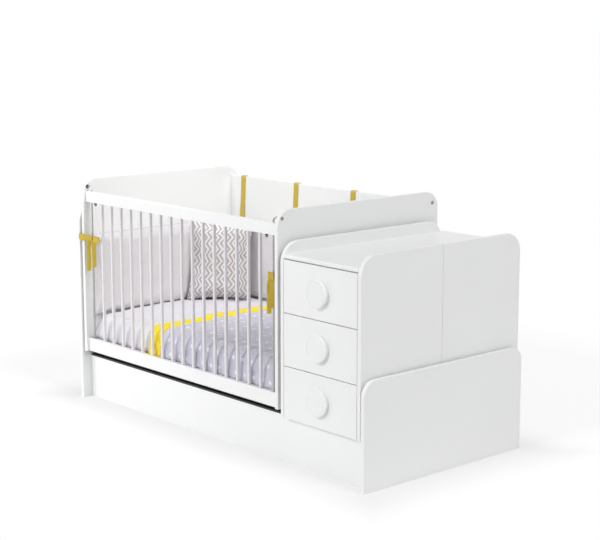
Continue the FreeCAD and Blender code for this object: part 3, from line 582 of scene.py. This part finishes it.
def makeRailTrim(spec):
    stripLow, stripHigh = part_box("base_rail_caps")
    ends = np.array([stripLow.x + spec["clear"], stripHigh.x - spec["clear"]])
    outTop = stripHigh.z
    parts = []
    for rail in ("base_front_rail", "base_rear_rail"):
        low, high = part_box(rail)
        half, inTop = (high.y - low.y) / 2 + spec["clear"], high.z + spec["clear"]
        inside = trimLine(half, inTop, spec["lip"], spec["innerRound"], spec["arcSteps"])
        outside = trimLine(half + spec["thick"], outTop, spec["lip"] + outTop - inTop, spec["outerRound"],
                           spec["arcSteps"])
        ring = np.concatenate([outside, inside[::-1]])
        points = np.array([(x, y + (low.y + high.y) / 2, z) for x in ends for y, z in ring])
        count = len(ring)
        index = np.arange(2 * count).reshape(2, count)
        walls = gridQuads(np.concatenate([index, index[:, :1]], 1))
        k = np.arange(len(outside) - 1)
        cap = np.stack([k, k + 1, count - 2 - k, count - 1 - k], -1)
        parts.append((points, np.concatenate([walls[:, ::-1], cap[:, ::-1], cap + count]), points[:, :2]))
    piece = makePiece("railEdgeTrim", *together(parts), finishes["black_plastic"])
    piece.data.shade_flat()
    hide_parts("base_rail_caps")
    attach(piece, "base")


makeRailTrim(trimSpec)
print("edge trim made")


# Woven cotton in one tone: a fine even weave, slubs that vary its shade, and a soft nap.
# The weave is drawn at several millimetres a thread, far coarser than real, so that it shows at all.
def clothMaterial(name, lowHex, highHex, threadMm, nap):
    material, tree, shader = startMaterial(name, {
        "Roughness": 0.9, "Sheen Weight": nap, "Sheen Roughness": 0.5, "Specular IOR Level": 0.2,
    })
    place = add(tree, "TexCoord").outputs["UV"]
    slub = noise(tree, place, sizeMm=45, detail=5.0, Roughness=0.6)
    tone = blend(tree, slub, lowHex, highHex)
    threads = []
    for way in ("X", "Y"):
        wave = {"Vector": place, "Scale": perMm(threadMm) / math.pi, "Distortion": 0.6}
        threads.append(add(tree, "TexWave", wave, bands_direction=way).outputs["Fac"])
    weave = calc(tree, "MAXIMUM", *threads)
    wire(tree, shader, {"Base Color": tone, "Normal": relief(tree, weave, strength=0.25, depth=0.0006)})
    return material, tree, shader, place, tone


# Mattress in its fitted sheet: a crowned slab with rolled edges and a few slack ripples
mattressSpec = {
    "rim": 0.048, "rimSteps": 12, "fullness": 2.5, "footShare": 0.3, "step": 0.012, "underHeight": 0.003,
    "crown": 0.009, "ripple": 0.0016, "rippleWave": 0.12, "seed": 3, "slack": 0.012, "heldSlack": 0.004,
    "heldOver": 0.05, "tuck": 0.006, "squarePower": 0.2, "squareOver": 0.15,
}
mattressLow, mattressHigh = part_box("mattress")
mattressMid = mattressLow.z + mattressSpec["underHeight"]


# The top's height above the mattress's mid level, by the place across it: a wall, then a low crown
def mattressRise(spec, share):
    return mattressHigh.z - mattressMid - spec["crown"] + spec["crown"] * (1 - share ** 2)


# The edges are squarer under the bumpers than along the front, by the distance from the front
def squareness(spec, inset):
    return 1 + (spec["squarePower"] - 1) * np.clip((inset - spec["rim"]) / spec["squareOver"], 0, 1)


# Height of the mattress's top at a place
def mattressTop(spec, x, y):
    insetA = np.minimum(x - mattressLow.x, mattressHigh.x - x)
    insetB = np.minimum(y - mattressLow.y, mattressHigh.y - y)
    rise = roll(insetA, spec["rim"], spec["fullness"]) * roll(insetB, spec["rim"], spec["fullness"])
    share = (2 * y - mattressLow.y - mattressHigh.y) / (mattressHigh.y - mattressLow.y)
    return mattressMid + mattressRise(spec, share) * rise ** squareness(spec, y - mattressLow.y)


# How far the sheet's foot stands out at the front: slack at the left, held in where the quilt lies over it
def footSlack(spec, x):
    held = np.clip((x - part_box("quilt_border")[0].x) / spec["heldOver"] + 1, 0, 1)
    return spec["slack"] + (spec["heldSlack"] - spec["slack"]) * held


def makeMattress(spec):
    halfA = (mattressHigh.x - mattressLow.x) / 2
    halfB = (mattressHigh.y - mattressLow.y) / 2
    a, b, rise, isBack, quads = sewnSheets(halfA, halfB, spec["rim"], spec["step"], spec["rimSteps"],
                                           spec["fullness"])
    top = (mattressRise(spec, b / halfB) - spec["ripple"]) * rise ** squareness(spec, b + halfB)
    top += spec["ripple"] * rise ** 4 * crumple(a, b, spec["rippleWave"], spec["seed"])
    under = -spec["underHeight"] * rise ** spec["footShare"]  # a tight foot, near upright above
    t = np.where(isBack, under, top)
    middle = ((mattressLow.x + mattressHigh.x) / 2, (mattressLow.y + mattressHigh.y) / 2, mattressMid)
    low = 1 - roll(halfB + b, spec["rim"], spec["fullness"])  # 1 along the front foot, 0 on the top
    slack = footSlack(spec, a + middle[0])
    free = (slack - spec["heldSlack"]) / (spec["slack"] - spec["heldSlack"])
    points = setOut(middle, np.eye(3), a, b - slack * low, t - spec["tuck"] * free * low ** 4)
    material = clothMaterial("whiteLavenderPercale", "#d7d5da", "#dfdde2", 5.0, 0.15)[0]
    piece = makePiece("mattressInSheet", points, quads, np.stack([a, b], -1), material)
    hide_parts("mattress")
    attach(piece, "crib")


makeMattress(mattressSpec)
print("mattress made")


# Quilt and its border: wadded cloth laid over the mattress, round its front edge and down to the hem
quiltSpec = {
    "rim": 0.007, "rimSteps": 4, "step": 0.009, "lineCuts": 401, "under": 0.0022, "thick": 0.0068,
    "roll": 0.0022, "rollWave": 0.17, "rollSeed": 5, "crease": 0.0014, "creaseWave": 0.05, "creaseSeed": 6,
    "fall": 0.0050, "fallOver": 0.11, "fallWave": 0.075, "fallSlant": 0.7, "fallDrift": 0.2, "fallSeed": 21,
    "hemDrop": 0.007, "flare": 0.0056, "clear": 0.0010, "railOver": 0.003, "sewnShare": 0.05,
    "puff": {"stretch": 12.0, "bending": 0.35, "ease": 0.035, "pressure": 1.2, "frames": 16, "cap": 0.004},
}


# The line that the quilt follows across the mattress, from the hem up the front and over the top
def quiltLine(hemZ, rearY, wallCuts=5, edgeCuts=24, topCuts=160):
    halfB = (mattressHigh.y - mattressLow.y) / 2
    midY = (mattressHigh.y + mattressLow.y) / 2
    rim, slack = mattressSpec["rim"], mattressSpec["heldSlack"]
    wallZ = np.linspace(hemZ, mattressMid, wallCuts)[:-1]
    wall = np.stack([np.full_like(wallZ, mattressLow.y - slack), wallZ], -1)
    y = mattressLow.y + rim * (1 - np.cos(np.linspace(0, math.pi / 2, edgeCuts)[:-1]))
    y = np.concatenate([y, np.linspace(mattressLow.y + rim, rearY, topCuts)])
    height = mattressRise(mattressSpec, (y - midY) / halfB)
    up = roll(y - mattressLow.y, rim, mattressSpec["fullness"])
    line = np.concatenate([wall, np.stack([y - slack * (1 - up), mattressMid + height * up], -1)])
    return np.concatenate([np.zeros((len(line), 1)), line], 1)


def makeQuiltPiece(name, node, material, spec):
    low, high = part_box(node)
    line, length = evenLine(quiltLine(low.z - spec["hemDrop"], high.y), spec["lineCuts"])
    tangent = np.gradient(line, axis=0)
    normal = np.stack([np.zeros(len(line)), -tangent[:, 2], tangent[:, 1]], -1)
    normal /= np.linalg.norm(normal, axis=1, keepdims=True)
    halfA = (high.x - low.x) / 2
    a, b, rise, isBack, quads = sewnSheets(halfA, length / 2, spec["rim"], spec["step"], spec["rimSteps"])
    x = a + (high.x + low.x) / 2
    s = b + length / 2
    at = s / length * (len(line) - 1)
    rows = np.arange(len(line))
    place = sample(at, rows, line)
    out = sample(at, rows, normal)
    hang = np.clip(1 - s / spec["fallOver"], 0, 1)  # 1 at the hem, 0 from the top edge on
    slanted = x + spec["fallSlant"] * s
    wave = 0.5 + 0.5 * crumple(slanted, s * spec["fallDrift"], spec["fallWave"], spec["fallSeed"])
    lift = spec["under"] + spec["roll"] * (1 + crumple(x, s, spec["rollWave"], spec["rollSeed"])) * rise
    lift = lift + spec["fall"] * hang * wave * rise  # slanted folds down the front
    lift += spec["flare"] * (1 - rise) * (s < spec["rim"])  # the hem stands out over the board's edge
    skin = spec["thick"] * rise
    skin = skin + spec["crease"] * crumple(x, s, spec["creaseWave"], spec["creaseSeed"]) * rise ** 2
    t = lift + np.where(isBack, 0, skin)
    points = place + out * t[:, None]
    points[:, 0] += x
    piece = makePiece(name, points, quads, np.stack([x, s], -1), material)
    puff(piece, isBack | (rise < spec["sewnShare"]), spec["puff"])
    points = readPoints(piece)
    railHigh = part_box("guard_bottom_rail")[1]
    byRail = points[:, 2] < railHigh.z + spec["railOver"]
    front = np.where(byRail, railHigh.y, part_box("guard_slats")[1].y) + spec["clear"]
    points[:, 1] = np.maximum(points[:, 1], front)  # the slats and the rail hold the quilt back
    writePoints(piece, points)
    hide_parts(node)
    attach(piece, "crib")
    return piece, (2 * halfA, length)


# Lavender-grey cotton with small white five-pointed stars in staggered rows, 23 mm across and 55 mm apart
def quiltMaterial():
    spec = {"pitch": 0.055, "radius": 0.0115, "notch": 1.0, "points": 5}
    cloth = clothMaterial("starredLavenderCotton", "#c6c4d0", "#d0ceda", 4.0, 0.2)
    material, tree, shader, place, tone = cloth
    parts = add(tree, "SeparateXYZ", {0: place}).outputs
    row = calc(tree, "DIVIDE", parts["Y"], spec["pitch"])
    stagger = calc(tree, "MULTIPLY", calc(tree, "FLOOR", row), 0.5)
    column = calc(tree, "MULTIPLY_ADD", parts["X"], 1 / spec["pitch"], stagger)
    up = calc(tree, "SUBTRACT", calc(tree, "FRACT", row), 0.5)
    over = calc(tree, "SUBTRACT", calc(tree, "FRACT", column), 0.5)
    angle = calc(tree, "ARCTAN2", over, up)
    ray = calc(tree, "PINGPONG", calc(tree, "MULTIPLY", angle, spec["points"] / (2 * math.pi)), 0.5)
    far = calc(tree, "SQRT", calc(tree, "MULTIPLY_ADD", over, over, calc(tree, "MULTIPLY", up, up)))
    swell = calc(tree, "MULTIPLY_ADD", ray, 2 * spec["notch"], 1.0)
    star = calc(tree, "LESS_THAN", calc(tree, "MULTIPLY", far, swell), spec["radius"] / spec["pitch"])
    wire(tree, shader, {"Base Color": blend(tree, star, tone, "#efedf3")})
    return material


borderCloth = clothMaterial("yellowPoplin", "#eed52a", "#f6df36", 4.0, 0.15)[0]
quiltCloth = quiltMaterial()
border, borderFlat = makeQuiltPiece("quiltBorder", "quilt_border", borderCloth, quiltSpec)
quilt, quiltFlat = makeQuiltPiece("quiltTop", "quilt", quiltCloth, quiltSpec)
print("quilt made, flat size", quiltFlat, borderFlat)


# Bumpers: wadded pads on the three walls, flat at the back, swollen in front, with softly rolled edges
bumperSpec = {
    "rim": 0.024, "rimSteps": 5, "step": 0.012, "start": 0.80, "belly": 0.1, "dent": 0.0012,
    "dentWave": 0.11, "footPower": 0.35, "footFrom": 0.02, "footOver": 0.08, "footStart": 1.08,
    "clear": 0.0012, "sewnShare": 0.02,
    "puff": {"stretch": 14.0, "bending": 0.5, "ease": 0.02, "pressure": 2.5, "frames": 18, "cap": 0.006},
}


def makeBumper(name, node, axes, material, spec, seed):
    low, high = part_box(node)
    axes = np.array(axes, float)
    size = np.abs(axes @ (np.array(high) - np.array(low)))
    middle = (np.array(low) + np.array(high)) / 2 - axes[2] * size[2] / 2
    halfA, halfB = size[0] / 2, size[1] / 2
    a, b, rise, isBack, quads = sewnSheets(halfA, halfB, spec["rim"], spec["step"], spec["rimSteps"])
    up = np.clip((halfB + b - spec["footFrom"]) / spec["footOver"], 0, 1)
    rise = rise ** (spec["footPower"] + (1 - spec["footPower"]) * up)  # the foot is square on the mattress
    start = spec["start"] + (spec["footStart"] - spec["start"]) * (1 - up)
    belly = (1 - spec["belly"]) + spec["belly"] * (1 - (2 * b / size[1]) ** 2)
    face = size[2] * start * rise * belly
    face += spec["dent"] * crumple(a, b, spec["dentWave"], seed) * rise ** 2
    t = np.where(isBack, 0, face)
    piece = makePiece(name, setOut(middle, axes, a, b, t), quads, np.stack([a, b], -1), material)
    puff(piece, isBack | (rise < spec["sewnShare"]), spec["puff"])
    points = readPoints(piece)
    rest = mattressTop(mattressSpec, points[:, 0], points[:, 1]) + spec["clear"]
    points[:, 2] = np.maximum(points[:, 2], rest)  # the foot lies on the mattress's edge
    writePoints(piece, points)
    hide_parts(node)
    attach(piece, "crib")


sideCloth = clothMaterial("warmGreyCotton", "#d6d3d5", "#dedbdd", 5.0, 0.2)[0]
# The rear cloth's lilac hue is its own; its extra paleness over the side cloth is painted light lifting the
# pillow's shadow on it
rearCloth = clothMaterial("lilacGreyCotton", "#dad6dc", "#e2dfe4", 5.0, 0.2)[0]
makeBumper("bumperLeft", "bumper_left", ((0, 1, 0), (0, 0, 1), (1, 0, 0)), sideCloth, bumperSpec, 31)
makeBumper("bumperRear", "bumper_rear", ((1, 0, 0), (0, 0, 1), (0, -1, 0)), rearCloth, bumperSpec, 32)
makeBumper("bumperRight", "bumper_right", ((0, -1, 0), (0, 0, 1), (-1, 0, 0)), sideCloth, bumperSpec, 33)
print("bumpers made")


# Pillow: two oblongs of cloth sewn together and stuffed, stood a little askew on the sheet in the corner
pillowSpec = {
    "flat": (0.36, 0.46), "size": (0.300, 0.384, 0.112), "turnDeg": 52.0, "leanDeg": 5.0, "slantDeg": 5.0,
    "fromLeft": 0.138, "fromRear": 0.198, "rim": 0.075, "rimSteps": 6, "step": 0.009, "start": 0.036,
    "drawIn": 0.045, "press": 0.007, "clear": 0.0008,
    "puff": {"stretch": 10.0, "bending": 0.25, "ease": 0.02, "pressure": 5.0, "frames": 20, "cap": 0.022},
}


# Grey and white zigzag stripes up the pillow: 66 mm from peak to peak, 26 mm from stripe to stripe
def chevronMaterial():
    spec = {"halfPeak": 0.033, "slope": 0.75, "stripe": 0.026, "whiteShare": 0.5}
    cloth = clothMaterial("greyChevronCotton", "#a9a3a5", "#b3adaf", 4.0, 0.2)
    material, tree, shader, place, tone = cloth
    parts = add(tree, "SeparateXYZ", {0: place}).outputs
    zigzag = calc(tree, "PINGPONG", parts["Y"], spec["halfPeak"])
    along = calc(tree, "MULTIPLY_ADD", zigzag, spec["slope"], parts["X"])
    inStripe = calc(tree, "FRACT", calc(tree, "MULTIPLY", along, 1 / spec["stripe"]))
    white = calc(tree, "LESS_THAN", inStripe, spec["whiteShare"])
    wire(tree, shader, {"Base Color": blend(tree, white, tone, "#dfdcdd")})
    return material


# The pillow sinks until it rests, and what would go below the sheet spreads flat on it
def settle(points, press, clear):
    halfB = (mattressHigh.y - mattressLow.y) / 2
    share = (points[:, 1] - (mattressHigh.y + mattressLow.y) / 2) / halfB
    top = mattressMid + mattressRise(mattressSpec, share) + clear
    points[:, 2] += np.max(top - points[:, 2]) - press
    points[:, 2] = np.maximum(points[:, 2], top)
    return points


def makePillow(spec):
    halfA, halfB = spec["flat"][0] / 2, spec["flat"][1] / 2
    a, b, rise, isBack, quads = sewnSheets(halfA, halfB, spec["rim"], spec["step"], spec["rimSteps"])
    drawA = a * (1 - spec["drawIn"] * (1 - (b / halfB) ** 2))
    drawB = b * (1 - spec["drawIn"] * (1 - (a / halfA) ** 2))
    t = spec["start"] * rise * np.where(isBack, -1, 1)
    flat = np.stack([a, b], -1)
    piece = makePiece("chevronPillow", np.stack([drawA, drawB, t], -1), quads, flat, chevronMaterial())
    puff(piece, np.zeros(len(a), bool), spec["puff"])
    points = readPoints(piece)
    points = (points - points.min(0)) / np.ptp(points, axis=0) * spec["size"]  # the stuffed size, as measured
    points -= np.array([0.5, 0, 0.5]) * spec["size"]
    points[:, 0] += points[:, 1] * math.tan(math.radians(spec["slantDeg"]))
    turn, lean = math.radians(spec["turnDeg"]), math.radians(spec["leanDeg"])
    across = np.array([math.cos(turn), math.sin(turn), 0])
    behind = np.array([-math.sin(turn), math.cos(turn), 0])
    upright = behind * math.sin(lean) + np.array([0, 0, math.cos(lean)])
    foot = np.array([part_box("crib_left_end")[1].x + spec["fromLeft"],
                     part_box("crib_rear_panel")[0].y - spec["fromRear"], 0])
    points = setOut(foot, np.stack([across, upright, np.cross(across, upright)]), *points.T)
    writePoints(piece, settle(points, spec["press"], spec["clear"]))
    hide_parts("pillow")
    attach(piece, "crib")


makePillow(pillowSpec)
print("pillow made")


# Tie tape: plain woven mustard cotton
tieTape = clothMaterial("mustardTieTape", "#c3a837", "#d1b84b", 3.0, 0.25)[0]

# Tapes over the rear panel: from the bumper's top edge up the panel, over it and down behind
tapeSpec = {
    "width": 0.032, "thick": 0.0016, "gap": 0.0010, "shift": 0.013, "pitch": 0.383, "count": 4,
    "below": 0.010, "slant": 0.010, "tail": 0.060, "bend": 0.006, "footOff": 0.012, "liftOff": 0.004,
    "liftAt": 0.020, "sway": 0.004, "swayAt": 0.035,
}


def makeTapes(spec):
    panelLow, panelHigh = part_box("crib_rear_panel")
    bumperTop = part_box("bumper_rear")[1].z
    middle = (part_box("crib_left_end")[1].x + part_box("crib_right_end")[0].x) / 2 + spec["shift"]
    off = spec["gap"] + spec["thick"] / 2
    front, back, top = panelLow.y - off, panelHigh.y + off, panelHigh.z + off
    bend = spec["bend"]
    parts = []
    for k in range(spec["count"]):
        x = middle + (k - (spec["count"] - 1) / 2) * spec["pitch"]
        low = x - spec["slant"]
        line = smoothLine([
            (low, front - spec["footOff"], bumperTop - spec["below"]),
            (low, front - spec["liftOff"], bumperTop + spec["liftAt"]),
            ((low + x) / 2, front, (bumperTop + top) / 2),
            (x, front, top - 2 * bend), (x, front + bend / 2, top - bend / 3), (x, front + bend, top),
            (x, back - bend, top), (x, back - bend / 2, top - bend / 3), (x, back, top - 2 * bend),
            (x + spec["sway"] * 0.75, back, top - spec["swayAt"]),
            (x + spec["sway"], back, top - spec["tail"]),
        ])
        parts.append(tape(line, (-1, 0, 0), spec["width"], spec["thick"]))
    piece = makePiece("rearTieTapes", *together(parts), tieTape)
    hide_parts("bumper_straps")
    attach(piece, "crib")


# Bows on the guide rods: a ring round the rod, a knot, two flat loops and two tails.
# Each loop's tip and each tail's end is given from the knot, in metres, and the bends between as shares
bowSpec = {
    "width": 0.027, "tailWidth": 0.019, "thick": 0.0014, "fat": 0.007, "rodRadius": 0.006,
    "rodOffset": 0.0325, "drop": 0.012, "knotReach": 0.016, "knotTurnDeg": 48.0, "turnSteps": 25,
    "ringGap": 0.0022, "ringShare": 0.6, "wrapDepth": 0.007, "wrapHeight": 0.0155, "wrapWidth": 0.014,
    "loopBends": ((0.0, 0.0), (0.4, 0.7), (0.85, 0.8), (1.0, 0.1), (0.9, -0.25), (0.45, -0.2), (0.0, 0.1)),
    "tailStart": (0.6, -0.003, -0.006), "tailBends": ((0.9, 1.0, 0.25), (0.95, 1.0, 0.6)),
    "tailSway": (0.004, -0.003, 0.0), "tailAcross": ((0.75, 0.66, 0.0), (0.55, 0.83, 0.0)),
    "left": {"loops": ((-0.062, -0.030, 0.006), (0.070, -0.008, 0.0)),
             "tails": ((-0.019, -0.008, -0.150), (0.015, -0.002, -0.130))},
    "right": {"loops": ((-0.026, -0.006, 0.004), (0.013, -0.012, 0.002)),
              "tails": ((-0.018, -0.008, -0.150), (-0.003, -0.005, -0.126))},
}


# A loop's line from the knot out to its tip and back, its outer ply in front
def loopLine(knot, tip, spec):
    fat = np.array([tip[1], -tip[0], 0]) / math.hypot(tip[0], tip[1]) * spec["fat"]
    fat *= -np.sign(fat[1])
    return smoothLine([knot + tip * along + fat * out for along, out in spec["loopBends"]])


# A tail's line from under the knot down to its end, swaying to one side and then the other
def tailLine(knot, end, sway, spec):
    share, fore, down = spec["tailStart"]
    upper, lower = [knot + end * bend for bend in np.array(spec["tailBends"])]
    return smoothLine([knot + (end[0] * share, fore, down), upper + sway, lower - sway * 0.5, knot + end])


def makeBows(spec):
    guardLow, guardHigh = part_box("guard_top_rail")
    rodY = (guardLow.y + guardHigh.y) / 2
    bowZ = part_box("bumper_left")[1].z - spec["drop"]
    rods = {
        "left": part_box("crib_left_end")[1].x + spec["rodOffset"],
        "right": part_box("crib_right_end")[0].x - spec["rodOffset"],
    }
    turn = np.linspace(0, 2 * math.pi, spec["turnSteps"])
    level = np.zeros(spec["turnSteps"])
    ringReach = spec["rodRadius"] + spec["ringGap"]
    ring = np.stack([ringReach * np.sin(turn), -ringReach * np.cos(turn), level], -1)
    wrap = np.stack([level, -spec["wrapDepth"] * np.cos(turn), spec["wrapHeight"] * np.sin(turn)], -1)
    knotTurn = math.radians(spec["knotTurnDeg"])
    parts = []
    for side, rodX in rods.items():
        rod = np.array([rodX, rodY, bowZ])
        knot = rod + spec["knotReach"] * np.array([math.sin(knotTurn), -math.cos(knotTurn), 0])
        parts.append(tape(ring + rod, (0, 0, 1), spec["width"] * spec["ringShare"], spec["thick"]))
        for tip in np.array(spec[side]["loops"]):
            parts.append(tape(loopLine(knot, tip, spec), (0, 0, 1), spec["width"], spec["thick"]))
        parts.append(tape(wrap + knot, (1, 0, 0), spec["wrapWidth"], spec["thick"]))
        for end, way in zip(np.array(spec[side]["tails"]), (-1, 1)):
            line = tailLine(knot, end, np.array(spec["tailSway"]) * way, spec)
            parts.append(tape(line, spec["tailAcross"], spec["tailWidth"], spec["thick"]))
    piece = makePiece("tieBows", *together(parts), tieTape)
    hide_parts("bumper_bows")
    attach(piece, "crib")


makeTapes(tapeSpec)
makeBows(bowSpec)
print("tapes and bows made")
